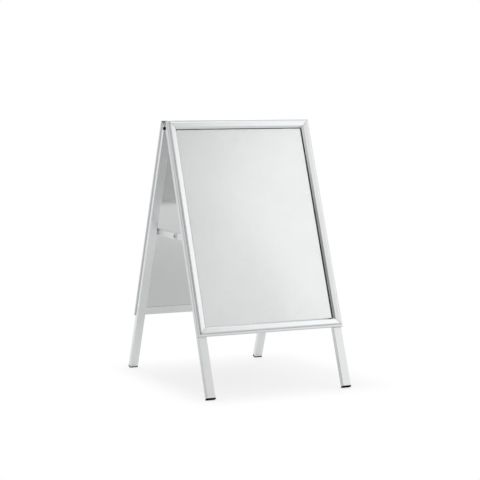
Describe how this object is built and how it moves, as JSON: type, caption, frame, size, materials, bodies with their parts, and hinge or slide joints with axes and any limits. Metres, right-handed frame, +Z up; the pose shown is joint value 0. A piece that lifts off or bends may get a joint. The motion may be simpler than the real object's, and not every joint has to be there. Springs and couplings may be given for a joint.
{
  "type": "a-frame sign",
  "caption": "Folding A-frame pavement sign: a pair of snap-frame poster panels with flip-open rails on tube legs, hinged at the top, with folding side stays.",
  "frame": {"origin": "centre of the footprint on the ground, midway between the front and rear feet", "axes": "+Z up; +X along the hinge, to the right when looking at the front panel; the front panel faces -Y"},
  "size_m": [0.4516, 0.5838, 0.7518],
  "materials": {
    "anodised": "satin anodised extrusion",
    "anodised_cover": "bright satin anodised",
    "galvanised": "smooth zinc-coated sheet",
    "zinc_steel": "zinc-plated",
    "clear_sheet": "clear, anti-glare",
    "black_plastic": "moulded black",
    "grey_plastic": "moulded grey",
    "seal_rubber": "soft black"
  },
  "bodies": {
    "front_panel": {"front_leg_left": "anodised", "front_leg_right": "anodised", "front_crossbar": "anodised", "front_rail_left": "anodised", "front_rail_top": "anodised", "front_rail_right": "anodised", "front_rail_bottom": "anodised", "front_backing_sheet": "galvanised", "front_clear_sheet": "clear_sheet", "front_corner_keys": "zinc_steel", "front_rail_rivets": "zinc_steel", "front_cover_springs": "zinc_steel", "front_feet": "black_plastic", "front_top_caps": "grey_plastic", "front_crossbar_screws": "zinc_steel", "front_hinge_leaves": "anodised", "front_hinge_screws": "zinc_steel", "front_stay_pivots": "zinc_steel", "hinge_pins": "zinc_steel", "hinge_plugs": "black_plastic"},
    "front_cover_left": {"front_cover_left": "anodised_cover", "front_seal_left": "seal_rubber"},
    "front_cover_top": {"front_cover_top": "anodised_cover", "front_seal_top": "seal_rubber"},
    "front_cover_right": {"front_cover_right": "anodised_cover", "front_seal_right": "seal_rubber"},
    "front_cover_bottom": {"front_cover_bottom": "anodised_cover", "front_seal_bottom": "seal_rubber"},
    "rear_panel": {"rear_leg_left": "anodised", "rear_leg_right": "anodised", "rear_crossbar": "anodised", "rear_rail_left": "anodised", "rear_rail_top": "anodised", "rear_rail_right": "anodised", "rear_rail_bottom": "anodised", "rear_backing_sheet": "galvanised", "rear_clear_sheet": "clear_sheet", "rear_corner_keys": "zinc_steel", "rear_rail_rivets": "zinc_steel", "rear_cover_springs": "zinc_steel", "rear_feet": "black_plastic", "rear_top_caps": "grey_plastic", "rear_crossbar_screws": "zinc_steel", "rear_hinge_leaves": "anodised", "rear_hinge_screws": "zinc_steel", "rear_stay_pivots": "zinc_steel"},
    "rear_cover_left": {"rear_cover_left": "anodised_cover", "rear_seal_left": "seal_rubber"},
    "rear_cover_top": {"rear_cover_top": "anodised_cover", "rear_seal_top": "seal_rubber"},
    "rear_cover_right": {"rear_cover_right": "anodised_cover", "rear_seal_right": "seal_rubber"},
    "rear_cover_bottom": {"rear_cover_bottom": "anodised_cover", "rear_seal_bottom": "seal_rubber"},
    "stay_left_front": {"stay_left_front_link": "anodised"},
    "stay_left_rear": {"stay_left_rear_link": "anodised", "stay_left_rivet": "zinc_steel"},
    "stay_right_front": {"stay_right_front_link": "anodised"},
    "stay_right_rear": {"stay_right_rear_link": "anodised", "stay_right_rivet": "zinc_steel"}
  },
  "joints": [
    {"name": "fold", "type": "hinge", "parent": "front_panel", "child": "rear_panel", "pos_m": [0, 0, 0.72803], "axis": [-1, 0, 0], "range_deg": [0, 41]},
    {"name": "stay_left_front_turn", "type": "hinge", "parent": "front_panel", "child": "stay_left_front", "pos_m": [-0.18845, -0.12545, 0.42476], "axis": [1, 0, 0], "range_deg": [0, 65.94]},
    {"name": "stay_left_rear_turn", "type": "hinge", "parent": "rear_panel", "child": "stay_left_rear", "pos_m": [-0.19125, 0.12545, 0.42476], "axis": [-1, 0, 0], "range_deg": [0, 65.94]},
    {"name": "stay_right_front_turn", "type": "hinge", "parent": "front_panel", "child": "stay_right_front", "pos_m": [0.18845, -0.12545, 0.42476], "axis": [1, 0, 0], "range_deg": [0, 65.94]},
    {"name": "stay_right_rear_turn", "type": "hinge", "parent": "rear_panel", "child": "stay_right_rear", "pos_m": [0.19125, 0.12545, 0.42476], "axis": [-1, 0, 0], "range_deg": [0, 65.94]},
    {"name": "front_cover_left_flip", "type": "hinge", "parent": "front_panel", "child": "front_cover_left", "pos_m": [-0.217, -0.12989, 0.46058], "axis": [0, -0.3502, -0.9367], "range_deg": [0, 90]},
    {"name": "front_cover_top_flip", "type": "hinge", "parent": "front_panel", "child": "front_cover_top", "pos_m": [0, -0.02343, 0.74533], "axis": [-1, 0, 0], "range_deg": [0, 90]},
    {"name": "front_cover_right_flip", "type": "hinge", "parent": "front_panel", "child": "front_cover_right", "pos_m": [0.217, -0.12989, 0.46058], "axis": [0, 0.3502, 0.9367], "range_deg": [0, 90]},
    {"name": "front_cover_bottom_flip", "type": "hinge", "parent": "front_panel", "child": "front_cover_bottom", "pos_m": [0, -0.23635, 0.17584], "axis": [1, 0, 0], "range_deg": [0, 90]},
    {"name": "rear_cover_left_flip", "type": "hinge", "parent": "rear_panel", "child": "rear_cover_left", "pos_m": [-0.217, 0.12989, 0.46058], "axis": [0, -0.3502, 0.9367], "range_deg": [0, 90]},
    {"name": "rear_cover_top_flip", "type": "hinge", "parent": "rear_panel", "child": "rear_cover_top", "pos_m": [0, 0.02343, 0.74533], "axis": [1, 0, 0], "range_deg": [0, 90]},
    {"name": "rear_cover_right_flip", "type": "hinge", "parent": "rear_panel", "child": "rear_cover_right", "pos_m": [0.217, 0.12989, 0.46058], "axis": [0, 0.3502, -0.9367], "range_deg": [0, 90]},
    {"name": "rear_cover_bottom_flip", "type": "hinge", "parent": "rear_panel", "child": "rear_cover_bottom", "pos_m": [0, 0.23635, 0.17584], "axis": [-1, 0, 0], "range_deg": [0, 90]}
  ],
  "couplings": [
    {"joint": "stay_left_front_turn", "follows": "fold", "ratio": 1.6081},
    {"joint": "stay_left_rear_turn", "follows": "fold", "ratio": 1.6081},
    {"joint": "stay_right_front_turn", "follows": "fold", "ratio": 1.6081},
    {"joint": "stay_right_rear_turn", "follows": "fold", "ratio": 1.6081}
  ]
}
